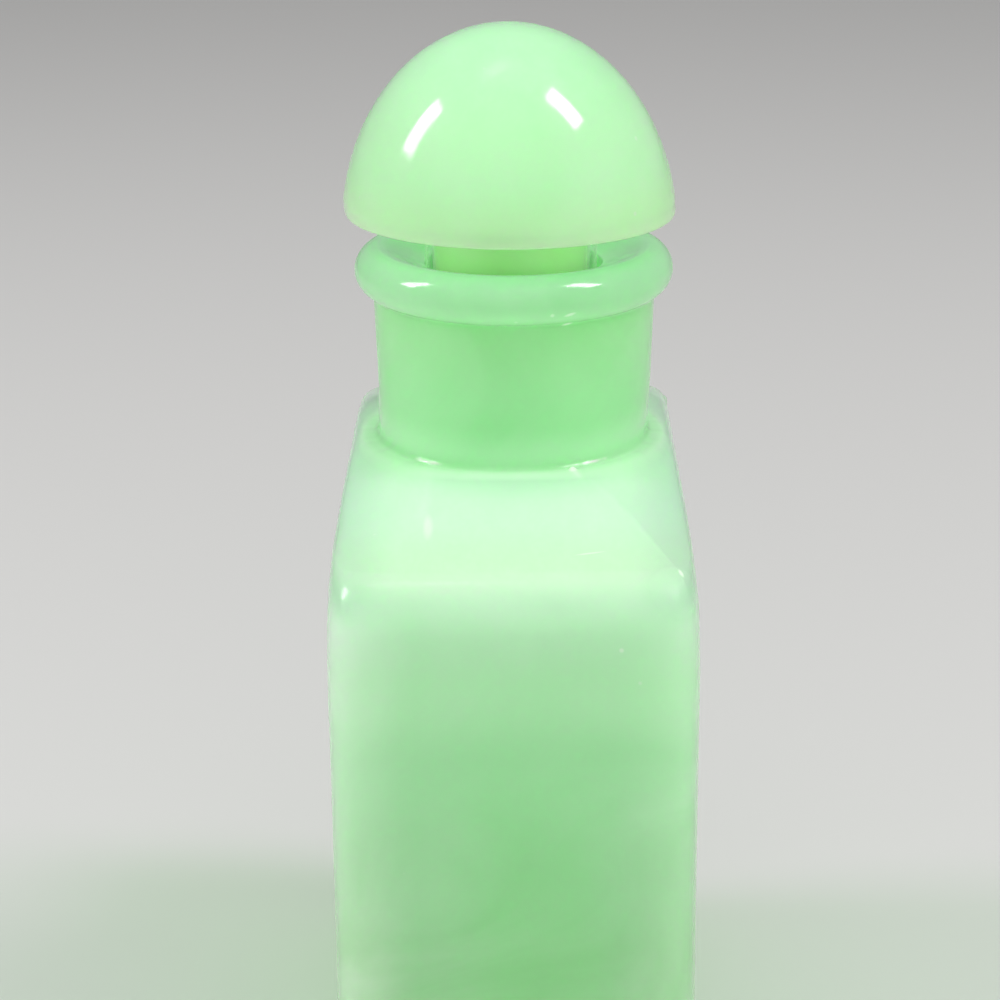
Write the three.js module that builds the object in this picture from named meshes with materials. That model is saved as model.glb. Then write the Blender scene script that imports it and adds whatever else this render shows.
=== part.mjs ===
// Stoppered cosmetic bottle of pressed jade-green glass, in millimetres, +Z up.
// The origin is the centre of the resting face. The narrow ends of the body look along Y.
import * as THREE from "three";

// Body of the bottle
const BODY_WIDTH = 37.3; // between the broad faces, along X
const BODY_DEPTH = 72; // between the narrow faces, along Y
const BODY_HEIGHT = 76; // resting face to the foot of the neck
const BODY_SQUARENESS = 11.7; // exponent of the plan's outline, where 2 is an ellipse
const SHOULDER_RISE = 4.3; // shoulder edge at the narrow ends to the foot of the neck
const SHOULDER_ROUND = 5.4; // rounding of that edge
const SHOULDER_SWEEP = THREE.MathUtils.degToRad(77); // how far that rounding turns before the slope
const SHOULDER_LEDGE = 4.3; // glass beside the neck on the broad sides
const SIDE_DRAW = 7.5; // how much lower than the narrow ends the broad sides begin to draw in
const SIDE_FULLNESS = 4; // exponent of that drawing in, where 2 is a quarter ellipse
const SIDE_WALL = 3.4;
const SHOULDER_GLASS = 4.2; // thickness of the shoulder at the neck
const FLOOR_HEIGHT = 6; // resting face to the inside floor
const INSIDE_SQUARENESS = 8;
const INSIDE_ROUND = 3; // rounding inside, under the shoulder
const FLOOR_ROUND = 4; // rounding inside, round the floor

// Base
const HEEL_ROUND = 2.5;
const RESTING_RIM = 4; // width of the flat rim that the bottle stands on
const BASE_RECESS = 1.2; // how far the middle of the base is pushed up
const RECESS_SLOPE = 3; // width of the slope between the rim and the recess

// Neck and lip
const NECK_HEIGHT = 18; // foot of the neck to the middle of the lip
const NECK_FLARE = 0.5; // how much wider the neck is at the lip
const NECK_FILLET = 0.7;
const NECK_WALL = 5.4; // at the foot of the neck
const LIP_BEAD = 2.55; // radius of the rolled bead
const LIP_OVERHANG = 1.95; // how far the bead stands out past the neck
const LIP_TURN_IN = THREE.MathUtils.degToRad(113); // where the bead turns into the sloping mouth
const MOUTH_DEPTH = 1.9; // crest of the lip to the top of the bore
const THROAT_ROUND = 2; // rounding where the bore opens into the body

// Seat: the bore, the sleeve and the plug share one taper
const SEAT_TAPER = 0.02; // radius gained for each millimetre upwards
const RIB_CLEARANCE = 0.1; // between the sleeve's ribs and the bore
const RIB_HEIGHT = 0.2;
const RIB_WIDTH = 1.4;
const RIB_COUNT = 3;
const SLEEVE_WALL = 0.75;
const PLUG_CLEARANCE = 0.15; // between the plug and the sleeve

// Stopper
const STOPPER_GAP = 3.3; // crest of the lip to the underside of the dome
const DOME_OVERHANG = 0.55; // how far the dome stands out past the lip
const DOME_HEIGHT = 19.7;
const DOME_EDGE = 1.4; // height of the bevel under the dome's rim
const DOME_BEVEL = 0.8; // how far that bevel draws in
const DOME_CUT = 3.2; // how far above its widest level the dome's ellipse begins
const PLUG_LENGTH = 21; // underside of the dome to the plug's end
const PLUG_CHAMFER = 1;
const PLUG_FILLET = 0.8; // where the plug meets the dome
const PLUG_TIP = 2; // plug that shows below the sleeve
const SLEEVE_GAP = 0.3; // sleeve's top to the foot of the plug's fillet

// Fineness of the faceted surfaces
const RING_POINTS = 56;
const TURNED_SIDES = 56;

const neckBaseRadius = BODY_WIDTH / 2 - SHOULDER_LEDGE;
const neckTopRadius = neckBaseRadius + NECK_FLARE;
const lipRadius = neckTopRadius + LIP_OVERHANG - LIP_BEAD;
const lipHeight = BODY_HEIGHT + NECK_HEIGHT;
const undersideHeight = lipHeight + LIP_BEAD + STOPPER_GAP;

// Radius of the tapered bore at a height above the resting face, and of what fits in it
const boreRadius = (z) => neckBaseRadius - NECK_WALL + SEAT_TAPER * (z - BODY_HEIGHT);
const sleeveOuterRadius = (z) => boreRadius(z) - RIB_CLEARANCE - RIB_HEIGHT;
const sleeveInnerRadius = (z) => sleeveOuterRadius(z) - SLEEVE_WALL;
const plugRadius = (z) => sleeveInnerRadius(z) - PLUG_CLEARANCE;

// Evenly spaced values, both ends included
function steps(count, from, to) {
  return Array.from({ length: count + 1 }, (_, i) => from + ((to - from) * i) / count);
}

// One level of a lofted wall: its height, half sizes and squareness
function level(z, halfWidth, halfDepth, squareness) {
  return { z, halfWidth, halfDepth, squareness };
}

function roundLevel(z, radius) {
  return level(z, radius, radius, 2);
}

function signedPower(value, power) {
  return Math.abs(value) < 1e-9 ? 0 : Math.sign(value) * Math.abs(value) ** power;
}

// Closed solid through superellipse levels, from the middle of the first one to the middle of the last
function loft(levels) {
  const positions = [];
  const indices = [];
  for (const { z, halfWidth, halfDepth, squareness } of levels) {
    for (let i = 0; i < RING_POINTS; i += 1) {
      const angle = (2 * Math.PI * i) / RING_POINTS;
      const x = halfWidth * signedPower(Math.cos(angle), 2 / squareness);
      const y = halfDepth * signedPower(Math.sin(angle), 2 / squareness);
      positions.push(x, y, z);
    }
  }
  const start = positions.length / 3;
  positions.push(0, 0, levels[0].z);
  positions.push(0, 0, levels.at(-1).z);
  const lastRing = (levels.length - 1) * RING_POINTS;
  for (let i = 0; i < RING_POINTS; i += 1) {
    const next = (i + 1) % RING_POINTS;
    indices.push(start, next, i);
    indices.push(start + 1, lastRing + i, lastRing + next);
    for (let ring = 0; ring < lastRing; ring += RING_POINTS) {
      indices.push(ring + i, ring + next, ring + RING_POINTS + next);
      indices.push(ring + i, ring + RING_POINTS + next, ring + RING_POINTS + i);
    }
  }
  const geometry = new THREE.BufferGeometry();
  geometry.setAttribute("position", new THREE.Float32BufferAttribute(positions, 3));
  geometry.setIndex(indices);
  return geometry;
}

// Closed solid turned about Z from [radius, height] points
function turned(profile) {
  const points = profile.map(([radius, z]) => new THREE.Vector2(radius, z));
  const geometry = new THREE.LatheGeometry(points, TURNED_SIDES);
  geometry.rotateX(Math.PI / 2);
  return geometry;
}

// Underside with its recess, resting rim and rounded heel
function baseLevels() {
  const inset = (by, z) => level(z, BODY_WIDTH / 2 - by, BODY_DEPTH / 2 - by, BODY_SQUARENESS);
  const rimInside = HEEL_ROUND + RESTING_RIM;
  const heel = steps(4, 0, Math.PI / 2);
  return [
    inset(rimInside + RECESS_SLOPE, BASE_RECESS),
    inset(rimInside, 0),
    ...heel.map((turn) => inset(HEEL_ROUND * (1 - Math.sin(turn)), HEEL_ROUND * (1 - Math.cos(turn)))),
  ];
}

// Shoulder: a rounded edge and a slope at the narrow ends, a longer curve on the broad sides
function shoulderLevels() {
  const wallTop = BODY_HEIGHT - SHOULDER_RISE - SHOULDER_ROUND;
  const footRadius = neckBaseRadius + NECK_FILLET;
  const curveStart = wallTop - SIDE_DRAW;
  const halfWidth = (z) => {
    const climb = (z - curveStart) / (BODY_HEIGHT - curveStart);
    return footRadius + (BODY_WIDTH / 2 - footRadius) * Math.max(0, 1 - climb * climb) ** (1 / SIDE_FULLNESS);
  };
  const halfDepth = (turn) => BODY_DEPTH / 2 - SHOULDER_ROUND * (1 - Math.cos(turn));
  const slopeStart = wallTop + SHOULDER_ROUND * Math.sin(SHOULDER_SWEEP);
  const wall = steps(3, curveStart, wallTop).slice(0, -1).map((z) =>
    level(z, halfWidth(z), BODY_DEPTH / 2, BODY_SQUARENESS),
  );
  const rounding = steps(6, 0, SHOULDER_SWEEP).map((turn) => {
    const z = wallTop + SHOULDER_ROUND * Math.sin(turn);
    return level(z, halfWidth(z), halfDepth(turn), BODY_SQUARENESS);
  });
  const slope = steps(8, 0, Math.PI / 2).slice(1).map((turn) => {
    const share = Math.sin(turn);
    const z = THREE.MathUtils.lerp(slopeStart, BODY_HEIGHT, share);
    const depth = THREE.MathUtils.lerp(halfDepth(SHOULDER_SWEEP), footRadius, share);
    return level(z, halfWidth(z), depth, THREE.MathUtils.lerp(BODY_SQUARENESS, 2, share));
  });
  return [...wall, ...rounding, ...slope];
}

// Neck with its fillet, and the bead rolled over it into the mouth
function neckLevels() {
  const fillet = steps(4, 0, Math.PI / 2).slice(1).map((turn) => {
    const radius = neckBaseRadius + NECK_FILLET * (1 - Math.sin(turn));
    return roundLevel(BODY_HEIGHT + NECK_FILLET * (1 - Math.cos(turn)), radius);
  });
  const beadStart = -Math.acos((neckTopRadius - lipRadius) / LIP_BEAD);
  const bead = steps(12, beadStart, LIP_TURN_IN).map((turn) =>
    roundLevel(lipHeight + LIP_BEAD * Math.sin(turn), lipRadius + LIP_BEAD * Math.cos(turn)),
  );
  return [...fillet, ...bead];
}

// Bore, throat, and the hollow down to its floor
function insideLevels() {
  const mouthHeight = lipHeight + LIP_BEAD - MOUTH_DEPTH;
  const ceiling = BODY_HEIGHT - SHOULDER_GLASS;
  const throatHeight = ceiling + THROAT_ROUND;
  const throatRadius = boreRadius(throatHeight);
  const inset = (by, z) =>
    level(z, BODY_WIDTH / 2 - SIDE_WALL - by, BODY_DEPTH / 2 - SIDE_WALL - by, INSIDE_SQUARENESS);
  const throat = steps(3, 0, Math.PI / 2).map((turn) =>
    roundLevel(throatHeight - THROAT_ROUND * Math.sin(turn), throatRadius + THROAT_ROUND * (1 - Math.cos(turn))),
  );
  const edgeHeight = ceiling - SHOULDER_RISE - INSIDE_ROUND;
  const underShoulder = steps(4, Math.PI / 2, 0).map((turn) =>
    inset(INSIDE_ROUND * (1 - Math.cos(turn)), edgeHeight + INSIDE_ROUND * Math.sin(turn)),
  );
  const roundFloor = steps(4, 0, Math.PI / 2).map((turn) =>
    inset(FLOOR_ROUND * (1 - Math.cos(turn)), FLOOR_HEIGHT + FLOOR_ROUND * (1 - Math.sin(turn))),
  );
  return [roundLevel(mouthHeight, boreRadius(mouthHeight)), ...throat, ...underShoulder, ...roundFloor];
}

// One piece of glass: from the middle of the base up the outside, over the lip and down the inside
function bottleBody() {
  return loft([...baseLevels(), ...shoulderLevels(), ...neckLevels(), ...insideLevels()]);
}

// Solid glass dome with its plug, about the centre of the dome's underside
function stopper() {
  const rimRadius = neckTopRadius + LIP_OVERHANG + DOME_OVERHANG;
  const plugAt = (z) => plugRadius(undersideHeight + z);
  const plugEnd = -PLUG_LENGTH;
  const root = plugAt(-PLUG_FILLET);
  const fillet = steps(3, 0, Math.PI / 2).map((turn) => [
    root + PLUG_FILLET * (1 - Math.cos(turn)),
    PLUG_FILLET * (Math.sin(turn) - 1),
  ]);
  const rise = DOME_HEIGHT - DOME_EDGE + DOME_CUT;
  const start = Math.asin(DOME_CUT / rise);
  const dome = steps(14, start, Math.PI / 2).slice(0, -1).map((turn) => [
    (rimRadius * Math.cos(turn)) / Math.cos(start),
    DOME_EDGE - DOME_CUT + rise * Math.sin(turn),
  ]);
  return turned([
    [0, plugEnd],
    [plugAt(plugEnd) - PLUG_CHAMFER, plugEnd],
    [plugAt(plugEnd + PLUG_CHAMFER), plugEnd + PLUG_CHAMFER],
    ...fillet,
    [rimRadius - DOME_BEVEL, 0],
    ...dome,
    [0, DOME_HEIGHT],
  ]);
}

// Thin seal sleeve round the plug, with raised ribs that meet the bore, about the same centre
function stopperSleeve() {
  const top = -PLUG_FILLET - SLEEVE_GAP;
  const bottom = -PLUG_LENGTH + PLUG_TIP;
  const outerAt = (z) => sleeveOuterRadius(undersideHeight + z);
  const innerAt = (z) => sleeveInnerRadius(undersideHeight + z);
  const mouth = -STOPPER_GAP - MOUTH_DEPTH;
  const ribHeights = steps(RIB_COUNT + 1, bottom, mouth).slice(1, -1);
  const ribs = ribHeights.flatMap((z) => [
    [outerAt(z - RIB_WIDTH / 2), z - RIB_WIDTH / 2],
    [outerAt(z) + RIB_HEIGHT, z],
    [outerAt(z + RIB_WIDTH / 2), z + RIB_WIDTH / 2],
  ]);
  const bottomInner = [innerAt(bottom), bottom];
  return turned([
    bottomInner,
    [outerAt(bottom), bottom],
    ...ribs,
    [outerAt(top), top],
    [innerAt(top), top],
    bottomInner,
  ]);
}

const jadeGlass = { color: 0xa0e5a6, roughness: 0.12, metalness: 0 };
const paleGlass = { color: 0xb4f0b4, roughness: 0.12, metalness: 0 };
const sealPlastic = { color: 0xb9dfb0, roughness: 0.4, metalness: 0 };

function piece(name, geometry, finish) {
  const mesh = new THREE.Mesh(geometry, new THREE.MeshStandardMaterial(finish));
  mesh.name = name;
  return mesh;
}

const closure = new THREE.Group();
closure.position.z = undersideHeight;
closure.add(piece("stopper", stopper(), paleGlass));
closure.add(piece("stopper_sleeve", stopperSleeve(), sealPlastic));

const bottle = new THREE.Group();
bottle.add(piece("bottle_body", bottleBody(), jadeGlass));
bottle.add(closure);

export default bottle;
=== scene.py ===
"""Looks of a stoppered cosmetic bottle of milky jade-green pressed glass, in metres, +Z up."""

import math

import bpy
import numpy as np
from mathutils import Matrix, Vector


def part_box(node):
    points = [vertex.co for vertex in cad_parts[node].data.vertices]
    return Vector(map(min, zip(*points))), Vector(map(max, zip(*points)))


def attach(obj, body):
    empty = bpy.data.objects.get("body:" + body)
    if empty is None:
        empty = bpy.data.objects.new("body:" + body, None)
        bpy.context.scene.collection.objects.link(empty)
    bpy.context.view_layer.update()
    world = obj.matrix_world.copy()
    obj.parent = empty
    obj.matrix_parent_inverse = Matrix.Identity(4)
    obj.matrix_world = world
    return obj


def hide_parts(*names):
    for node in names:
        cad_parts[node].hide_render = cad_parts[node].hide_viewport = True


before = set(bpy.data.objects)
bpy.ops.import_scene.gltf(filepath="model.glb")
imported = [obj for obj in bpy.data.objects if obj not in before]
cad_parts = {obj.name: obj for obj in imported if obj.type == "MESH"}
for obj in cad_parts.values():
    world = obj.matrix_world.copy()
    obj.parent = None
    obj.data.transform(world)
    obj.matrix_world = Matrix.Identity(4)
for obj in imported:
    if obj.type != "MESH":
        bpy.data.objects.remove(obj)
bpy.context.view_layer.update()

MM = 0.001
RIGHT_ANGLE = math.pi / 2

# Body of the bottle
BODY_SQUARENESS = 11.7
SHOULDER_RISE = 4.3 * MM
SHOULDER_ROUND = 5.4 * MM
SHOULDER_SWEEP = math.radians(77)
SHOULDER_LEDGE = 4.3 * MM
SIDE_DRAW = 7.5 * MM
SIDE_FULLNESS = 4
SIDE_WALL = 3.4 * MM
SHOULDER_GLASS = 4.2 * MM
FLOOR_HEIGHT = 6 * MM
INSIDE_SQUARENESS = 8
INSIDE_ROUND = 3 * MM
FLOOR_ROUND = 4 * MM
HEEL_ROUND = 2.5 * MM
RESTING_RIM = 4 * MM
BASE_RECESS = 1.2 * MM
RECESS_SLOPE = 3 * MM
MIDDLE_INSET = 0.9

# Neck and lip
NECK_HEIGHT = 18 * MM
NECK_FLARE = 0.5 * MM
NECK_FILLET = 0.7 * MM
NECK_WALL = 5.4 * MM
LIP_BEAD = 2.55 * MM
LIP_OVERHANG = 1.95 * MM
LIP_TURN_IN = math.radians(113)
BEAD_FILLET = 0.7 * MM
MOUTH_DEPTH = 1.9 * MM
THROAT_ROUND = 2 * MM

# Seat, sleeve and stopper
SEAT_TAPER = 0.02
RIB_CLEARANCE = 0.1 * MM
RIB_HEIGHT = 0.2 * MM
RIB_WIDTH = 1.4 * MM
RIB_COUNT = 3
SLEEVE_WALL = 0.75 * MM
PLUG_CLEARANCE = 0.15 * MM
PLUG_TIP = 0.5 * MM
PLUG_CHAMFER = 1 * MM
PLUG_FILLET = 0.8 * MM
STOPPER_GAP = 3.3 * MM
DOME_EDGE = 1.4 * MM
DOME_BEVEL = 0.8 * MM
DOME_CUT = 3.2 * MM

# Hand-finished set of the stopper
DOME_OFFSET = -0.16 * MM
DOME_TILT = math.radians(0.4)
RIM_SWELL = 0.6 * MM
SIDE_SWELL = 0.2 * MM
SIDE_SWELL_TURN = (0.3, 0.9)
SIDE_SWELL_REACH = 3 * MM

# Waves and mould seams of the bottle; each wave has its pull along x, y and z and its start
NECK_OFFSET = 0.25 * MM
NECK_OFFSET_RISE = 6 * MM
HEEL_FADE = 4 * MM
WAVE_DEPTH = 0.05 * MM
WAVE_LENGTH = 26 * MM
WAVES = (
    (0.9, 0, 0.5, 0.4),
    (0, 0.7, -0.8, 1.9),
    (0.6, -0.5, 1.3, 4.1),
    (0.8, -0.9, 0, 2.7),
)
SEAM_START = np.array([6.9, 13.4]) * MM
SEAM_WAY = np.array([0.45, 0.89])
SEAM_HEIGHT = 0.03 * MM
SEAM_END = (0.5 * MM, 1.5 * MM)
HIP_STEP = 0.16 * MM
HIP_REACH = 1.6 * MM
HIP_END = 0.4 * MM
EDGE_LINE = 0.03 * MM
EDGE_LINE_WIDTH = 0.3 * MM
EDGE_LINE_DROP = 0.25 * EDGE_LINE_WIDTH

# Ripples, ridges and a chip round the foot of the neck, and a nub on the far shoulder corner;
# each ripple has its number of crests and its start, each ridge its two ends in degrees from the front
FOOT_RIPPLE = 0.025 * MM
RIPPLE_RISE = 0.3 * MM
RIPPLE_REACH = 0.7 * MM
RIPPLE_OUT = 3 * MM
RIPPLES = ((23, 0), (37, 1.1), (61, 2.3))
FOOT_RIDGES = ((-45, -29), (31, 43))
RIDGE_START = 3
RIDGE_END = 4
RIDGE_UNEVENNESS = 0.3
RIDGE_INSET = 0.3 * NECK_FILLET
RIDGE_HEIGHT = 0.1 * MM
RIDGE_WIDTH = 0.15 * MM
FOOT_CHIP = np.array([6.15, -14, 76.05]) * MM
CHIP_HEIGHT = 0.45 * MM
CHIP_SIZE = 0.42 * MM
NUB = np.array([17.85, 26, 71.35]) * MM
NUB_HEIGHT = 0.4 * MM
NUB_SIZE = 0.5 * MM

# Where painted shade darkens the bottle's glass, painted light makes it paler, or it is worn
SHOULDER_END = (0.08 * MM, 0.2 * MM)
FOOT_RADIUS = (15 * MM, 21 * MM)
FOOT_FACING = (0.7, 0.95)
FLANK_WIDTH = (10 * MM, 17.5 * MM)
HIP_SHADE_REACH = 0.2 * MM
CORNER_WIDTH = (9.5 * MM, 15.5 * MM)
CORNER_DEPTH = (20 * MM, 30 * MM)
CORNER_TOP = 4 * MM
CORNER_FADE = 0.5
CORNER_FADE_START = 30 * MM
SEAM_CORNER_SHARE = 0.4
CORE_MIDDLE = 2.3 * MM
CORE_WIDTH = (3 * MM, 11 * MM)
CORE_TOP = (42 * MM, 62 * MM)
WORN_CORNER = np.array([15.8, 33.5, 70.3]) * MM
WORN_SIZE = 2.4 * MM
LESS_WEAR = 0.3

# Milky glass
MILK = (0.74, 0.96, 0.75)
MILK_SHARE = 0.16
MILK_SWIRLS = (0.35, 0.7)
GRAIN = (0.8, 0.95, 0.78)
GRAIN_SHARE = 0.35
GRAIN_SIZE = (0.03, 0.05)
# Pale colour of scratches and specks, also used for painted highlights and glints
PALE_MARK_AND_GLINT = (0.87, 1, 0.84)
MARK_EDGE = 0.6
GLOSS = (0.08, 0.18)
GLOSS_SMEARS = (0.35, 0.75)
WEAR = (0.15, 0.65)
SKIN_DEPTH = 0.06 * MM
SKIN_STRENGTH = 0.12
GLASS_IOR = 1.5

# Seal plastic
SEAL_COLOUR = (0.62, 0.86, 0.6)
SEAL_HAZE = (0.72, 0.92, 0.7)
HAZE_CLOUDS = (0.3, 0.7)
SEAL_GLOSS = (0.2, 0.34)
SEAL_EDGE = (0.5, 0.7)
SEAL_OPACITY = (0.02, 0.45)
RIB_OPACITY = 0.35
PLASTIC_IOR = 1.5

# Camera at the photograph's angle
CAMERA_DISTANCE = 272 * MM
CAMERA_RISE = 86.13 * MM
CAMERA_PITCH = math.radians(19.1)
CAMERA_ROLL = math.radians(0.44)
CAMERA_YAW = math.radians(0.13)
SENSOR_WIDTH = 36
FOCAL_PIXELS = 2651.6
IMAGE_SIDE = 1000
AXIS_PIXEL = 513.1

# Studio
FLOOR_COLOUR = (0.68, 0.675, 0.665)
FLOOR_ROUGHNESS = 0.7
FLOOR_HALF_SIDE = 4
WORLD_COLOUR = (0.35, 0.35, 0.35)

# Mesh fineness
QUARTER_POINTS = 64
QUARTER_SAMPLES = 600
FLAT_STEP = 1.6 * MM
DENSE_STEP = 0.05 * MM
TURN_STEP = math.radians(4)
BOTTLE_EASE = 0.15 * MM
STOPPER_EASE = 0.3 * MM
SLEEVE_EASE = 0.05 * MM
EASE_REACH = 3
HEEL_STEPS = 10
SIDE_STEPS = 12
SHOULDER_STEPS = 24
SLOPE_STEPS = 40
FOOT_STEPS = 10
FILLET_STEPS = 8
LIP_STEPS = 40
DOME_STEPS = 120
RIB_STEPS = 8
SEAM_COLUMNS = (QUARTER_POINTS + QUARTER_POINTS // 2, 3 * QUARTER_POINTS + QUARTER_POINTS // 2)

# Places that follow from the frame
bottle_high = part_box("bottle_body")[1]
stopper_low, stopper_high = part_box("stopper")
sleeve_low, sleeve_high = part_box("stopper_sleeve")
half_width, half_depth, lip_crest = bottle_high
lip_height = lip_crest - LIP_BEAD
body_height = lip_height - NECK_HEIGHT
neck_base_radius = half_width - SHOULDER_LEDGE
neck_top_radius = neck_base_radius + NECK_FLARE
lip_radius = neck_top_radius + LIP_OVERHANG - LIP_BEAD
wall_top = body_height - SHOULDER_RISE - SHOULDER_ROUND
mouth_height = lip_crest - MOUTH_DEPTH
underside = lip_crest + STOPPER_GAP
rim_radius = stopper_high.x
dome_top = stopper_high.z
plug_end = stopper_low.z


def bore_radius(z):
    return neck_base_radius - NECK_WALL + SEAT_TAPER * (z - body_height)


def sleeve_outer_radius(z):
    return bore_radius(z) - RIB_CLEARANCE - RIB_HEIGHT


def sleeve_inner_radius(z):
    return sleeve_outer_radius(z) - SLEEVE_WALL


def plug_radius(z):
    return sleeve_inner_radius(z) - PLUG_CLEARANCE


def between(a, b, share):
    return a + (b - a) * share


def steps(count, start, end):
    return np.linspace(start, end, count + 1)


def ramp(value, start, end):
    """Smooth rise from 0 to 1."""
    share = np.clip((value - start) / (end - start), 0, 1)
    return share * share * (3 - 2 * share)


# Outlines, listed level by level: height, half width, half depth and squareness


def round_level(z, radius):
    return (z, radius, radius, 2.0)


def base_levels():
    def inset(by, z):
        return (z, half_width - by, half_depth - by, BODY_SQUARENESS)

    rim_inside = HEEL_ROUND + RESTING_RIM
    heel = [
        inset(HEEL_ROUND * (1 - math.sin(turn)), HEEL_ROUND * (1 - math.cos(turn)))
        for turn in steps(HEEL_STEPS, 0, RIGHT_ANGLE)
    ]
    middle = inset(MIDDLE_INSET * half_width, BASE_RECESS)
    return [middle, inset(rim_inside + RECESS_SLOPE, BASE_RECESS), inset(rim_inside, 0), *heel]


def shoulder_levels():
    foot_radius = neck_base_radius + NECK_FILLET
    curve_start = wall_top - SIDE_DRAW
    slope_start = wall_top + SHOULDER_ROUND * math.sin(SHOULDER_SWEEP)

    def width_at(z):
        climb = (z - curve_start) / (body_height - curve_start)
        fullness = max(0, 1 - climb * climb) ** (1 / SIDE_FULLNESS)
        return foot_radius + (half_width - foot_radius) * fullness

    def depth_at(turn):
        return half_depth - SHOULDER_ROUND * (1 - math.cos(turn))

    levels = []
    for z in steps(SIDE_STEPS, curve_start, wall_top)[:-1]:
        levels.append((z, width_at(z), half_depth, BODY_SQUARENESS))
    for turn in steps(SHOULDER_STEPS, 0, SHOULDER_SWEEP):
        z = wall_top + SHOULDER_ROUND * math.sin(turn)
        levels.append((z, width_at(z), depth_at(turn), BODY_SQUARENESS))
    z, width, depth, squareness = levels.pop()
    levels.append((z - EDGE_LINE_DROP, width, depth + EDGE_LINE_WIDTH, squareness))
    levels.append((z + EDGE_LINE, width, depth + EDGE_LINE, squareness))
    for share in np.sin(steps(SLOPE_STEPS, 0, RIGHT_ANGLE))[1:]:
        z = between(slope_start, body_height, share)
        depth = between(depth_at(SHOULDER_SWEEP), foot_radius, share)
        levels.append((z, width_at(z), depth, between(BODY_SQUARENESS, 2, share)))
    return levels


def neck_levels():
    levels = []
    for turn in steps(FOOT_STEPS, 0, RIGHT_ANGLE)[1:]:
        radius = neck_base_radius + NECK_FILLET * (1 - math.sin(turn))
        levels.append(round_level(body_height + NECK_FILLET * (1 - math.cos(turn)), radius))
    out = neck_top_radius + BEAD_FILLET - lip_radius
    down = math.sqrt((LIP_BEAD + BEAD_FILLET) ** 2 - out ** 2)
    for turn in steps(FILLET_STEPS, math.pi, math.atan2(down, -out)):
        radius = lip_radius + out + BEAD_FILLET * math.cos(turn)
        levels.append(round_level(lip_height - down + BEAD_FILLET * math.sin(turn), radius))
    for turn in steps(LIP_STEPS, math.atan2(-down, out), LIP_TURN_IN):
        radius = lip_radius + LIP_BEAD * math.cos(turn)
        levels.append(round_level(lip_height + LIP_BEAD * math.sin(turn), radius))
    return levels


def inside_levels():
    ceiling = body_height - SHOULDER_GLASS
    throat_height = ceiling + THROAT_ROUND
    throat_radius = bore_radius(throat_height)
    edge_height = ceiling - SHOULDER_RISE - INSIDE_ROUND

    def inset(by, z):
        return (z, half_width - SIDE_WALL - by, half_depth - SIDE_WALL - by, INSIDE_SQUARENESS)

    levels = [round_level(mouth_height, bore_radius(mouth_height))]
    for turn in steps(FILLET_STEPS, 0, RIGHT_ANGLE):
        radius = throat_radius + THROAT_ROUND * (1 - math.cos(turn))
        levels.append(round_level(throat_height - THROAT_ROUND * math.sin(turn), radius))
    for turn in steps(FILLET_STEPS, RIGHT_ANGLE, 0):
        rise = INSIDE_ROUND * math.sin(turn)
        levels.append(inset(INSIDE_ROUND * (1 - math.cos(turn)), edge_height + rise))
    for turn in steps(FILLET_STEPS, 0, RIGHT_ANGLE):
        rise = FLOOR_ROUND * (1 - math.sin(turn))
        levels.append(inset(FLOOR_ROUND * (1 - math.cos(turn)), FLOOR_HEIGHT + rise))
    levels.append(inset(MIDDLE_INSET * (half_width - SIDE_WALL), FLOOR_HEIGHT))
    return levels


def stopper_levels():
    levels = [
        round_level(plug_end, PLUG_TIP),
        round_level(plug_end, plug_radius(plug_end) - PLUG_CHAMFER),
        round_level(plug_end + PLUG_CHAMFER, plug_radius(plug_end + PLUG_CHAMFER)),
    ]
    root = plug_radius(underside - PLUG_FILLET)
    for turn in steps(FILLET_STEPS, 0, RIGHT_ANGLE):
        radius = root + PLUG_FILLET * (1 - math.cos(turn))
        levels.append(round_level(underside + PLUG_FILLET * (math.sin(turn) - 1), radius))
    levels.append(round_level(underside, rim_radius - DOME_BEVEL + RIM_SWELL))
    rise = dome_top - underside - DOME_EDGE + DOME_CUT
    start = math.asin(DOME_CUT / rise)
    for turn in steps(DOME_STEPS, start, RIGHT_ANGLE)[:-1]:
        z = underside + DOME_EDGE - DOME_CUT + rise * math.sin(turn)
        levels.append(round_level(z, rim_radius * math.cos(turn) / math.cos(start)))
    return levels


def sleeve_levels():
    top, bottom = sleeve_high.z, sleeve_low.z
    levels = [
        round_level(bottom, sleeve_inner_radius(bottom)),
        round_level(bottom, sleeve_outer_radius(bottom)),
    ]
    for z in steps(RIB_COUNT + 1, bottom, mouth_height)[1:-1]:
        for share in steps(RIB_STEPS, -1, 1):
            at = z + share * RIB_WIDTH / 2
            bulge = RIB_HEIGHT * math.cos(share * RIGHT_ANGLE)
            levels.append(round_level(at, sleeve_outer_radius(at) + bulge))
    levels += [round_level(top, sleeve_outer_radius(top)), round_level(top, sleeve_inner_radius(top))]
    return levels


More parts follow.
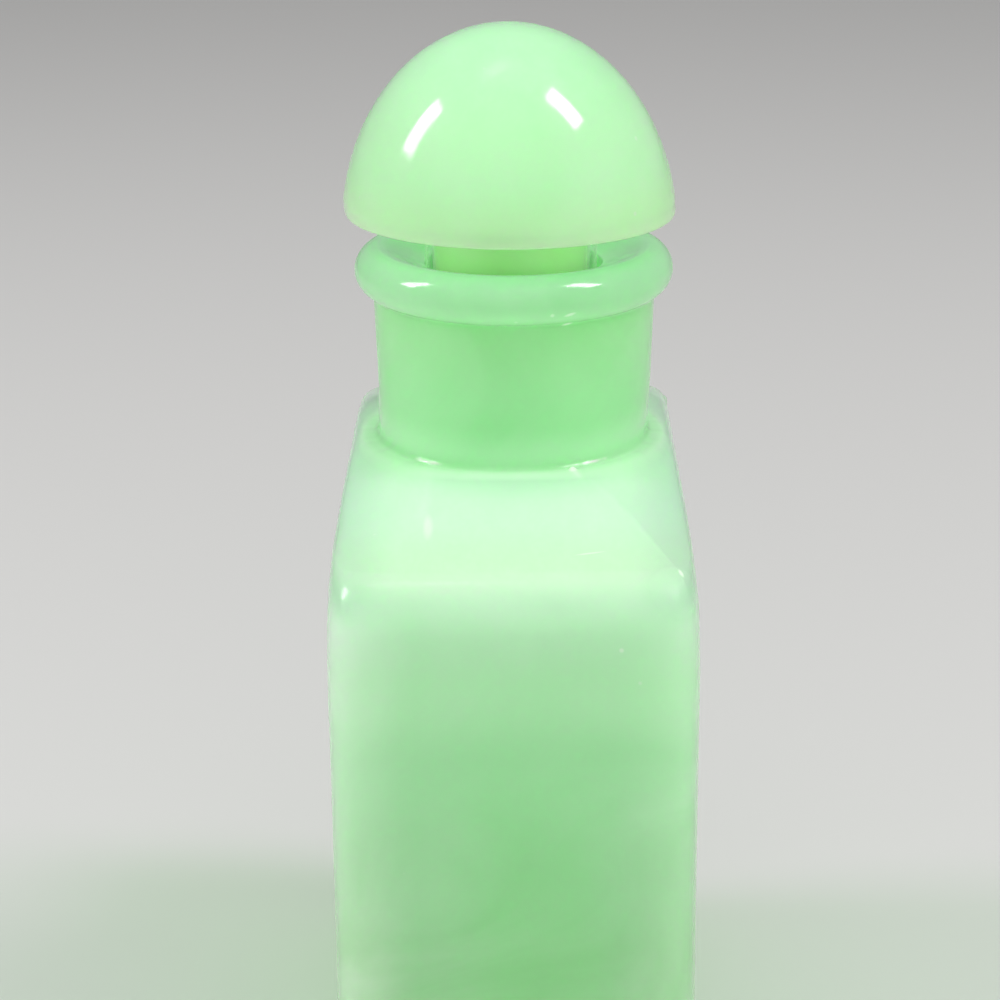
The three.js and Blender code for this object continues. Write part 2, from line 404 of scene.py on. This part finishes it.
def fair(levels, ease, closed=False):
    """Levels spaced by length and by turning, with the corners eased over a short length."""
    rows = np.array(levels, float)
    if closed:
        rows = np.vstack([rows, rows[:1]])
    reach = np.maximum(abs(np.diff(rows[:, 1])), abs(np.diff(rows[:, 2])))
    along = np.concatenate([[0], np.cumsum(np.hypot(np.diff(rows[:, 0]), reach))])
    at = np.linspace(0, along[-1], int(along[-1] / DENSE_STEP) + 1)
    rows = np.stack([np.interp(at, along, column) for column in rows.T], 1)

    softness = ease / DENSE_STEP
    span = int(EASE_REACH * softness) + 1
    weights = np.exp(-0.5 * (np.arange(-span, span + 1) / softness) ** 2)
    weights /= weights.sum()
    if closed:
        padded = np.pad(rows, ((span, span), (0, 0)), mode="wrap")
    else:
        padded = np.pad(rows, ((span, span), (0, 0)), mode="reflect", reflect_type="odd")
    rows = np.stack([np.convolve(column, weights, mode="valid") for column in padded.T], 1)

    move = np.diff(rows[:, :3], axis=0)
    out = np.where(abs(move[:, 1]) > abs(move[:, 2]), move[:, 1], move[:, 2])
    heading = np.unwrap(np.arctan2(move[:, 0], out))
    cost = np.hypot(move[:, 0], out) / FLAT_STEP
    cost[1:] += abs(np.diff(heading)) / TURN_STEP
    cost = np.concatenate([[0], np.cumsum(cost)])
    pick = np.interp(np.linspace(0, cost[-1], int(cost[-1]) + 2), cost, np.arange(len(cost)))
    rows = np.stack([np.interp(pick, np.arange(len(rows)), column) for column in rows.T], 1)
    return rows[:-1] if closed else rows


def quarter(half_x, half_y, squareness):
    """Points from +X to +Y on a superellipse, closer where it turns, the middle one on the mould seam."""
    angle = np.linspace(0, RIGHT_ANGLE, QUARTER_SAMPLES)
    x = half_x * np.cos(angle).clip(0) ** (2 / squareness)
    y = half_y * np.sin(angle).clip(0) ** (2 / squareness)
    x[-1] = 0
    move_x, move_y = np.diff(x), np.diff(y)
    along = np.concatenate([[0], np.cumsum(np.hypot(move_x, move_y))])
    heading = np.arctan2(move_y, move_x) / RIGHT_ANGLE - 1
    turned = np.concatenate([[0], 0.5 * (heading[1:] + heading[:-1]), [1]])
    share = 0.5 * (along / along[-1] + turned)
    beside = (y - SEAM_START[1]) * SEAM_WAY[0] - (x - SEAM_START[0]) * SEAM_WAY[1]
    seam = np.interp(0, beside, share)
    half = QUARTER_POINTS // 2
    at = np.concatenate([steps(half, 0, seam), steps(half, seam, 1)[1:]])
    return np.interp(at, share, x), np.interp(at, share, y)


def ring(z, half_x, half_y, squareness):
    x, y = quarter(half_x, half_y, squareness)
    full_x = np.concatenate([x[:-1], -x[:0:-1], -x[:-1], x[:0:-1]])
    full_y = np.concatenate([y[:-1], y[:0:-1], -y[:-1], -y[:0:-1]])
    return np.stack([full_x, full_y, np.full_like(full_x, z)], 1)


def grid(levels):
    return np.array([ring(*row) for row in levels])


def outward(points):
    """Unit normals of a grid of rings."""
    along = np.gradient(points, axis=0)
    around = np.roll(points, -1, 1) - np.roll(points, 1, 1)
    normal = np.cross(around, along)
    return normal / np.maximum(np.linalg.norm(normal, axis=2, keepdims=True), 1e-12)


def mesh_piece(name, points, closed=False, shades=()):
    """Smooth object through a grid of rings, filled at both ends or closed on itself, with named shades."""
    ring_count, count = points.shape[:2]
    vertices = [tuple(p) for p in points.reshape(-1, 3)]
    faces = []
    for r in range(ring_count if closed else ring_count - 1):
        here, above = r * count, ((r + 1) % ring_count) * count
        for i in range(count):
            j = (i + 1) % count
            faces.append((here + i, here + j, above + j, above + i))
    if not closed:
        start = len(vertices)
        vertices += [tuple(points[0].mean(0)), tuple(points[-1].mean(0))]
        last = (ring_count - 1) * count
        for i in range(count):
            j = (i + 1) % count
            faces.append((start, j, i))
            faces.append((start + 1, last + i, last + j))
    mesh = bpy.data.meshes.new(name)
    mesh.from_pydata(vertices, [], faces)
    mesh.shade_smooth()
    for shade, values in shades:
        full = np.zeros(len(vertices), np.float32)
        full[:values.size] = values.ravel()
        mesh.attributes.new(shade, "FLOAT", "POINT").data.foreach_set("value", full)
    piece = bpy.data.objects.new(name, mesh)
    bpy.context.scene.collection.objects.link(piece)
    return piece


# Unevenness of hand-finished glass


def waves(points):
    """Slow uneven swell between 0 and 1."""
    x, y, z = (2 * math.pi * points[..., axis] / WAVE_LENGTH for axis in range(3))
    swell = sum(np.sin(a * x + b * y + c * z + start) for a, b, c, start in WAVES)
    return 0.5 + swell / (2 * len(WAVES))


def mound(points, place, size):
    return np.exp(-(((points - place) / size) ** 2).sum(2))


def beside_seams(outside, reach):
    """Rise on the same side of each of the two mould seams, fading over a quarter of the way round."""
    rise = np.zeros(outside.shape[:2])
    count = outside.shape[1]
    for corner in SEAM_COLUMNS:
        order = (corner + np.arange(QUARTER_POINTS)) % count
        walk = np.linalg.norm(np.diff(outside[:, order], axis=1), axis=2)
        away = np.concatenate([np.zeros((len(walk), 1)), np.cumsum(walk, 1)], 1)
        fade = np.cos(np.linspace(0, RIGHT_ANGLE, QUARTER_POINTS)) ** 2
        rise[:, order] += (1 - np.exp(-away / reach)) * fade
    return rise


def foot_marks(x, y, z):
    """Ripples round the foot of the neck, and ridges in its fillet."""
    radius = np.hypot(x, y)
    turn = np.arctan2(y, x)
    ripple = sum(np.sin(count * turn + start) for count, start in RIPPLES)
    near_foot = np.exp(-(((z - body_height - RIPPLE_RISE) / RIPPLE_REACH) ** 2))
    near_foot *= radius < neck_base_radius + RIPPLE_OUT
    in_fillet = np.hypot(radius - neck_base_radius - RIDGE_INSET, z - body_height - RIDGE_INSET)
    from_front = np.degrees(np.arctan2(x, -y))
    ridges = np.zeros_like(z)
    for start, end in FOOT_RIDGES:
        along = ramp(from_front, start, start + RIDGE_START) * ramp(from_front, end, end - RIDGE_END)
        along *= 1 + RIDGE_UNEVENNESS * ripple
        ridges += along * np.exp(-((in_fillet / RIDGE_WIDTH) ** 2))
    return near_foot * ripple / len(RIPPLES), ridges


def body_shades(x, y, z):
    """Painted shade round the neck's foot, on the flanks and low in the middle of the front and back faces;
    painted light at the corners; and where the outside is worn.
    """
    radius = np.hypot(x, y)
    away_from_seams = x * y > 0
    upper = ramp(z, wall_top, wall_top + SHOULDER_ROUND) * ramp(body_height - z, *SHOULDER_END)
    # painted shade round the foot of the neck, where the neck shades the shoulder
    foot = upper * (1 - ramp(radius, *FOOT_RADIUS)) * ramp(abs(y) / np.maximum(radius, MM), *FOOT_FACING)
    # painted shade towards the shoulder's side edges
    flanks = upper * ramp(abs(x), *FLANK_WIDTH)
    # painted light: paler glass where light shines through the vertical corners
    corners = ramp(abs(x), *CORNER_WIDTH) * ramp(abs(y), *CORNER_DEPTH)
    corners *= 1 - ramp(z, wall_top, wall_top + CORNER_TOP)
    corners *= 1 - CORNER_FADE * ramp(z, CORNER_FADE_START, wall_top)
    corners *= np.where(away_from_seams, 1, SEAM_CORNER_SHARE)
    # painted shade, darker low down the middle of the front and back faces
    core = (1 - ramp(abs(x - CORE_MIDDLE), *CORE_WIDTH)) * (1 - ramp(z, *CORE_TOP))
    worn = mound(np.stack([abs(x), abs(y), z], 2), WORN_CORNER, WORN_SIZE)
    worn *= np.where(away_from_seams, LESS_WEAR, 1)
    return [("foot", foot), ("flanks", flanks), ("corners", corners), ("core", core), ("worn", worn)]


def uneven_bottle(points):
    """Waves, mould seams, a step beside them on the shoulder, and small marks; also the glass's painted
    shade and light, and painted highlights on the marks.
    """
    crest = int(points[:, 0, 2].argmax())
    outside = points[:crest]
    normal = outward(outside)
    x, y, z = (outside[..., axis].copy() for axis in range(3))
    above_heel = np.clip((z - HEEL_ROUND) / HEEL_FADE, 0, 1)
    below_foot = ramp(body_height - z, *SEAM_END)
    on_shoulder = np.clip((z - wall_top) / SHOULDER_ROUND, 0, 1) * np.clip((body_height - z) / HIP_END, 0, 1)
    ripples, ridges = foot_marks(x, y, z)
    chip = mound(outside, FOOT_CHIP, CHIP_SIZE)
    nub = mound(outside, NUB, NUB_SIZE)

    inward = WAVE_DEPTH * waves(outside) * above_heel
    for corner in SEAM_COLUMNS:
        inward[:, corner] -= (SEAM_HEIGHT * above_heel * below_foot)[:, corner]
    inward += HIP_STEP * beside_seams(outside, HIP_REACH) * on_shoulder
    inward += FOOT_RIPPLE * ripples
    inward -= RIDGE_HEIGHT * ridges + CHIP_HEIGHT * chip + NUB_HEIGHT * nub
    outside -= normal * inward[..., None]
    points[..., 0] += NECK_OFFSET * np.clip((points[..., 2] - body_height) / NECK_OFFSET_RISE, 0, 1)

    # painted shade beside each seam, on the side where the shoulder's step tilts away
    hips = beside_seams(outside, HIP_SHADE_REACH) * on_shoulder * below_foot
    shades = []
    # marks: painted highlights along the foot's ridges and on its chip, and a pale nub
    for name, values in [*body_shades(x, y, z), ("hips", hips), ("marks", ridges + chip + nub)]:
        full = np.zeros(points.shape[:2])
        full[:crest] = np.clip(values, 0, 1)
        shades.append((name, full))
    # painted shade tone: the lip's inside, shaded by the dome, made greyer
    mouth = ramp(points[..., 2], mouth_height - MOUTH_DEPTH, mouth_height)
    mouth[:crest] *= 1 - ramp(np.hypot(x, y), lip_radius - LIP_BEAD / 2, lip_radius + LIP_BEAD / 2)
    shades.append(("mouth", mouth))
    return points, shades


def uneven_stopper(points):
    """Dome set a little aslant and off the plug's axis, with its rim's bevel fuller on one side."""
    x, y, z = (points[..., axis].copy() for axis in range(3))
    on_dome = np.clip((z - underside + PLUG_FILLET) / PLUG_FILLET, 0, 1)
    radius = np.maximum(np.hypot(x, y), MM)
    full = ramp(underside + DOME_EDGE - z, 0, DOME_EDGE)
    full *= ramp(radius, rim_radius - SIDE_SWELL_REACH, rim_radius - DOME_BEVEL)
    full *= ramp(x / radius, *SIDE_SWELL_TURN)
    points[..., :2] *= (1 + SIDE_SWELL * full / radius)[..., None]
    points[..., 2] -= x * math.tan(DOME_TILT) * on_dome
    points[..., 0] += DOME_OFFSET * on_dome
    return points


def rib_share(points):
    """How far each point stands out of the sleeve's plain wall, as a share of a rib."""
    radius = np.hypot(points[..., 0], points[..., 1])
    return np.clip((radius - sleeve_outer_radius(points[..., 2])) / RIB_HEIGHT, 0, 1)


# Materials


def named(nodes, kind, **inputs):
    node = nodes.new(kind)
    for name, value in inputs.items():
        node.inputs[name.replace("_", " ")].default_value = value
    return node


def new_material(name):
    material = bpy.data.materials.new(name)
    material.use_nodes = True
    nodes = material.node_tree.nodes
    return material, nodes, material.node_tree.links, nodes["Principled BSDF"]


def texture(nodes, links, kind, place, **inputs):
    node = named(nodes, kind, **inputs)
    links.new(place, node.inputs["Vector"])
    return node.outputs


def spread(nodes, links, value, source, target):
    """Value mapped from one range to another, held at its ends."""
    low, high = source
    to_low, to_high = target
    node = named(nodes, "ShaderNodeMapRange", From_Min=low, From_Max=high, To_Min=to_low, To_Max=to_high)
    links.new(value, node.inputs["Value"])
    return node.outputs["Result"]


def mix(nodes, links, share, first, second, blend="MIX"):
    """Blend of a colour or a node's colour with a second colour."""
    node = nodes.new("ShaderNodeMix")
    node.data_type = "RGBA"
    node.blend_type = blend
    links.new(share, node.inputs["Factor"])
    if isinstance(first, bpy.types.NodeSocket):
        links.new(first, node.inputs["A"])
    else:
        node.inputs["A"].default_value = (*first, 1)
    node.inputs["B"].default_value = (*second, 1)
    return node.outputs["Result"]


def shade_value(nodes, name):
    node = nodes.new("ShaderNodeAttribute")
    node.attribute_name = name
    return node.outputs["Fac"]


def reckon(nodes, links, operation, first, second):
    node = nodes.new("ShaderNodeMath")
    node.operation = operation
    links.new(first, node.inputs[0])
    links.new(second, node.inputs[1])
    return node.outputs["Value"]


def colour_by_height(nodes, links, height, stops):
    low, high = stops[0][0], stops[-1][0]
    gradient = nodes.new("ShaderNodeValToRGB")
    links.new(spread(nodes, links, height, (low, high), (0, 1)), gradient.inputs["Fac"])
    gradient.color_ramp.interpolation = "EASE"
    while len(gradient.color_ramp.elements) < len(stops):
        gradient.color_ramp.elements.new(0.5)
    for element, (at, colour) in zip(gradient.color_ramp.elements, stops):
        element.position = (at - low) / (high - low)
        element.color = (*colour, 1)
    return gradient.outputs["Color"]


def patch(nodes, links, place, centre, size, turn):
    """Share from 1 at a centre to 0 at the surface of a turned ellipsoid, in millimetres and degrees."""
    local = nodes.new("ShaderNodeMapping")
    local.vector_type = "TEXTURE"
    local.inputs["Location"].default_value = np.array(centre) * MM
    local.inputs["Rotation"].default_value = np.radians(turn)
    local.inputs["Scale"].default_value = np.array(size) * MM
    links.new(place, local.inputs["Vector"])
    ball = nodes.new("ShaderNodeTexGradient")
    ball.gradient_type = "SPHERICAL"
    links.new(local.outputs["Vector"], ball.inputs["Vector"])
    return ball.outputs["Fac"]


def milky_glass(name, stops, scatter, reach, through, shades=(), marks=(), worn=False):
    """Glossy milky glass whose colour, painted light and shade included, and scatter change with height, and
    which lets some light through.
    """
    material, nodes, links, shader = new_material(name)
    place = nodes.new("ShaderNodeTexCoord").outputs["Object"]
    split = nodes.new("ShaderNodeSeparateXYZ")
    links.new(place, split.inputs["Vector"])
    height = split.outputs["Z"]

    colour = colour_by_height(nodes, links, height, stops)
    swirl = texture(nodes, links, "ShaderNodeTexNoise", place, Scale=45, Detail=3, Distortion=2.2)
    milk = spread(nodes, links, swirl["Fac"], MILK_SWIRLS, (0, MILK_SHARE))
    colour = mix(nodes, links, milk, colour, MILK)
    speck = texture(nodes, links, "ShaderNodeTexVoronoi", place, Scale=170)
    grain = spread(nodes, links, speck["Distance"], GRAIN_SIZE, (GRAIN_SHARE, 0))
    colour = mix(nodes, links, grain, colour, GRAIN)
    # tints over the named shades, mostly painted shade and painted light
    for shade, tint, blend in shades:
        colour = mix(nodes, links, shade_value(nodes, shade), colour, tint, blend)
    # pale marks, some of them painted highlights
    for centre, size, turn, strength in marks:
        share = patch(nodes, links, place, centre, size, turn)
        colour = mix(nodes, links, spread(nodes, links, share, (0, MARK_EDGE), (0, strength)), colour, PALE_MARK_AND_GLINT)
    links.new(colour, shader.inputs["Base Color"])

    smear = texture(nodes, links, "ShaderNodeTexNoise", place, Scale=90, Detail=5, Distortion=0.6)
    roughness = spread(nodes, links, smear["Fac"], GLOSS_SMEARS, GLOSS)
    if worn:
        scratch = texture(nodes, links, "ShaderNodeTexWhiteNoise", place)
        wear = spread(nodes, links, scratch["Value"], (0, 1), WEAR)
        wear = reckon(nodes, links, "MULTIPLY", shade_value(nodes, "worn"), wear)
        roughness = reckon(nodes, links, "ADD", roughness, wear)
    links.new(roughness, shader.inputs["Roughness"])

    skin = texture(nodes, links, "ShaderNodeTexNoise", place, Scale=420, Detail=2)
    bump = named(nodes, "ShaderNodeBump", Strength=SKIN_STRENGTH, Distance=SKIN_DEPTH)
    links.new(skin["Fac"], bump.inputs["Height"])
    links.new(bump.outputs["Normal"], shader.inputs["Normal"])

    shader.inputs["IOR"].default_value = GLASS_IOR
    shader.inputs["Subsurface Weight"].default_value = 1
    shader.inputs["Subsurface Radius"].default_value = reach
    (low, short), (high, long) = scatter
    scale = spread(nodes, links, height, (low, high), (short, long))
    links.new(scale, shader.inputs["Subsurface Scale"])

    clear = named(nodes, "ShaderNodeBsdfTransparent", Color=(*through, 1))
    lit_through = nodes.new("ShaderNodeMixShader")
    links.new(nodes.new("ShaderNodeLightPath").outputs["Is Shadow Ray"], lit_through.inputs[0])
    links.new(shader.outputs["BSDF"], lit_through.inputs[1])
    links.new(clear.outputs["BSDF"], lit_through.inputs[2])
    links.new(lit_through.outputs["Shader"], nodes["Material Output"].inputs["Surface"])
    return material


def jade_glass():
    # Colours by height, from the base to the lip: the glass's own tone with painted shade and light in it,
    # darker towards the bottom, paler over the shoulder's edge and top, paler at the neck's foot and low on
    # the lip, darker at the lip's crest
    stops = [
        (0, (0.32, 0.65, 0.31)),
        (30 * MM, (0.33, 0.67, 0.32)),
        (40 * MM, (0.35, 0.71, 0.35)),
        (53 * MM, (0.41, 0.79, 0.42)),
        (61 * MM, (0.475, 0.88, 0.485)),
        (wall_top + 1 * MM, (0.53, 0.87, 0.55)),
        (wall_top + 3 * MM, (0.54, 0.82, 0.56)),
        (wall_top + SHOULDER_ROUND, (0.61, 0.87, 0.6)),
        (body_height - 2 * MM, (0.62, 0.91, 0.65)),
        (body_height - 0.5 * MM, (0.62, 0.91, 0.65)),
        (body_height - 0.2 * MM, (0.61, 0.91, 0.63)),
        (body_height - 0.08 * MM, (0.44, 0.84, 0.45)),
        (body_height + 0.5 * MM, (0.44, 0.87, 0.46)),
        (body_height + 1.2 * MM, (0.45, 0.89, 0.47)),
        (body_height + 5 * MM, (0.35, 0.82, 0.36)),
        (lip_height - 3 * MM, (0.35, 0.8, 0.34)),
        (lip_height - 1.8 * MM, (0.45, 0.84, 0.46)),
        (lip_height, (0.37, 0.73, 0.39)),
        (lip_crest, (0.35, 0.64, 0.38)),
    ]
    # Tints: painted shade round the foot, on the flanks, beside the seams, low in the faces' middle and
    # inside the lip; painted light at the corners; painted highlights on the marks
    shades = (
        ("foot", (0.75, 0.83, 0.79), "MULTIPLY"),
        ("flanks", (0.82, 0.86, 0.86), "MULTIPLY"),
        ("hips", (0.96, 0.94, 0.97), "MULTIPLY"),
        ("corners", (1.42, 1.1, 1.4), "MULTIPLY"),
        ("core", (0.88, 1, 0.88), "MULTIPLY"),
        ("mouth", (1.06, 0.9, 1.09), "MULTIPLY"),
        ("marks", PALE_MARK_AND_GLINT, "MIX"),
    )
    # Pale marks and painted highlights: centre and size in millimetres, turn in degrees, strength
    marks = (
        # painted highlight on the left of the shoulder
        ((-8.4, -24.3, 73.6), (0.6, 2.6, 2), (0, 0, 0), 0.5),
        ((7.5, -28.8, 72.4), (1.8, 0.18, 0.8), (0, 0, 11), 0.6),
        # painted glint on the seam at the right shoulder corner
        ((16.3, -31.6, 71.25), (0.28, 0.75, 0.5), (0, 0, 25), 0.9),
        ((10.4, -36, 65), (0.3, 0.3, 0.3), (0, 0, 0), 0.5),
        # painted glint on the chip at the neck's foot
        ((6.2, -14.15, 76), (0.5, 0.5, 0.5), (0, 0, 0), 0.9),
        ((5.6, -14, 91.5), (0.7, 0.6, 0.2), (0, -10, 0), 0.9),
        ((5.9, -15.55, 92.85), (0.8, 0.5, 0.22), (0, -13, 0), 0.7),
        ((4.1, -16.1, 92.9), (0.28, 0.3, 0.28), (0, 0, 0), 0.5),
    )
    return milky_glass(
        "jade_glass",
        stops,
        scatter=((body_height, 6 * MM), (lip_height, 6 * MM)),
        reach=(0.5, 1, 0.5),
        through=(0.64, 0.86, 0.62),
        shades=shades,
        marks=marks,
        worn=True,
    )


def stopper_glass():
    # Colours by height, from the plug's end to the top of the dome: the plug painted a deeper yellow-green
    # as if lit through the glass, the rim's bevel painted paler against its shade, and the dome painted
    # darker towards its top against the light from above
    plug = (0.53, 1, 0.39)
    stops = [
        (plug_end, plug),
        (underside - PLUG_FILLET, plug),
        (underside + 0.2 * MM, (0.585, 1, 0.505)),
        (underside + DOME_EDGE, (0.54, 1, 0.48)),
        (underside + 7 * MM, (0.52, 0.95, 0.51)),
        (dome_top, (0.47, 0.89, 0.5)),
    ]
    return milky_glass(
        "stopper_glass",
        stops,
        scatter=((underside + DOME_EDGE, 0.4 * MM), (underside + 7 * MM, 16 * MM)),
        reach=(0.5, 1, 0.45),
        through=(0.84, 0.93, 0.86),
    )


def seal_plastic():
    """Thin clear sleeve that turns pale towards its edges and on its ribs."""
    material, nodes, links, shader = new_material("seal_plastic")
    place = nodes.new("ShaderNodeTexCoord").outputs["Object"]
    haze = texture(nodes, links, "ShaderNodeTexNoise", place, Scale=300, Detail=4)["Fac"]
    colour = mix(nodes, links, spread(nodes, links, haze, HAZE_CLOUDS, (0, 1)), SEAL_COLOUR, SEAL_HAZE)
    links.new(colour, shader.inputs["Base Color"])
    links.new(spread(nodes, links, haze, HAZE_CLOUDS, SEAL_GLOSS), shader.inputs["Roughness"])
    facing = named(nodes, "ShaderNodeLayerWeight", Blend=0.35).outputs["Facing"]
    edge = spread(nodes, links, facing, SEAL_EDGE, SEAL_OPACITY)
    ribs = spread(nodes, links, shade_value(nodes, "ribs"), (0, 1), (0, RIB_OPACITY))
    links.new(reckon(nodes, links, "ADD", edge, ribs), shader.inputs["Alpha"])
    shader.inputs["IOR"].default_value = PLASTIC_IOR
    return material


# Pieces


def dress(piece, body, node, material):
    piece.data.materials.append(material)
    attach(piece, body)
    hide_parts(node)


bottle_rows = fair(base_levels() + shoulder_levels() + neck_levels() + inside_levels(), BOTTLE_EASE)
bottle_points, bottle_shades = uneven_bottle(grid(bottle_rows))
bottle = mesh_piece("bottle_glass", bottle_points, shades=bottle_shades)
stopper_points = uneven_stopper(grid(fair(stopper_levels(), STOPPER_EASE)))
stopper = mesh_piece("stopper_glass", stopper_points)
sleeve_points = grid(fair(sleeve_levels(), SLEEVE_EASE, closed=True))
sleeve = mesh_piece("seal_sleeve", sleeve_points, closed=True, shades=[("ribs", rib_share(sleeve_points))])
dress(bottle, "bottle", "bottle_body", jade_glass())
dress(stopper, "stopper", "stopper", stopper_glass())
dress(sleeve, "sleeve", "stopper_sleeve", seal_plastic())

# Camera, floor and light


def add_camera():
    data = bpy.data.cameras.new("camera")
    data.sensor_width = SENSOR_WIDTH
    data.lens = SENSOR_WIDTH * FOCAL_PIXELS / IMAGE_SIDE
    data.shift_x = (IMAGE_SIDE / 2 - AXIS_PIXEL) / IMAGE_SIDE
    camera = bpy.data.objects.new("camera", data)
    yaw = Matrix.Rotation(CAMERA_YAW, 4, "Z")
    tilt = Matrix.Rotation(RIGHT_ANGLE - CAMERA_PITCH, 4, "X")
    roll = Matrix.Rotation(-CAMERA_ROLL, 4, "Z")
    camera.location = yaw @ Vector((0, -CAMERA_DISTANCE, body_height + CAMERA_RISE))
    camera.rotation_euler = (yaw @ tilt @ roll).to_euler()
    bpy.context.scene.collection.objects.link(camera)
    bpy.context.scene.camera = camera


def add_floor():
    material, _, _, shader = new_material("floor")
    shader.inputs["Base Color"].default_value = (*FLOOR_COLOUR, 1)
    shader.inputs["Roughness"].default_value = FLOOR_ROUGHNESS
    side = FLOOR_HALF_SIDE
    corners = [(-side, -side, 0), (side, -side, 0), (side, side, 0), (-side, side, 0)]
    mesh = bpy.data.meshes.new("floor")
    mesh.from_pydata(corners, [], [(0, 1, 2, 3)])
    mesh.materials.append(material)
    plane = bpy.data.objects.new("floor", mesh)
    bpy.context.scene.collection.objects.link(plane)


def add_lamp(name, azimuth, elevation, distance, size, power, mirrored=True):
    """Area lamp aimed at the neck's foot; azimuth 0 is on the camera's side."""
    aim = Vector((0, 0, body_height))
    turn, rise = math.radians(azimuth), math.radians(elevation)
    flat = math.cos(rise)
    direction = Vector((math.sin(turn) * flat, -math.cos(turn) * flat, math.sin(rise)))
    data = bpy.data.lights.new(name, "AREA")
    data.shape = "RECTANGLE"
    data.size, data.size_y = size
    data.energy = power
    lamp = bpy.data.objects.new(name, data)
    lamp.visible_glossy = mirrored
    lamp.location = aim + direction * distance
    lamp.rotation_euler = (-direction).to_track_quat("-Z", "Y").to_euler()
    bpy.context.scene.collection.objects.link(lamp)


def add_world():
    world = bpy.data.worlds.new("world")
    world.use_nodes = True
    world.node_tree.nodes["Background"].inputs["Color"].default_value = (*WORLD_COLOUR, 1)
    bpy.context.scene.world = world


add_camera()
add_floor()
add_world()
add_lamp("left_lamp", azimuth=-88, elevation=37.8, distance=0.8, size=(0.15, 0.36), power=2.4)
add_lamp("right_lamp", azimuth=75, elevation=54.5, distance=0.8, size=(0.145, 0.3), power=2.8)
add_lamp("ceiling_lamp", azimuth=-138, elevation=81, distance=1.2, size=(0.3, 0.15), power=0.25)
add_lamp("top_lamp", azimuth=0, elevation=80, distance=1.2, size=(1.2, 1.2), power=2.2, mirrored=False)
add_lamp("front_lamp", azimuth=0, elevation=8, distance=1.2, size=(1.4, 0.7), power=4.8, mirrored=False)

bpy.context.scene.view_settings.view_transform = "Standard"
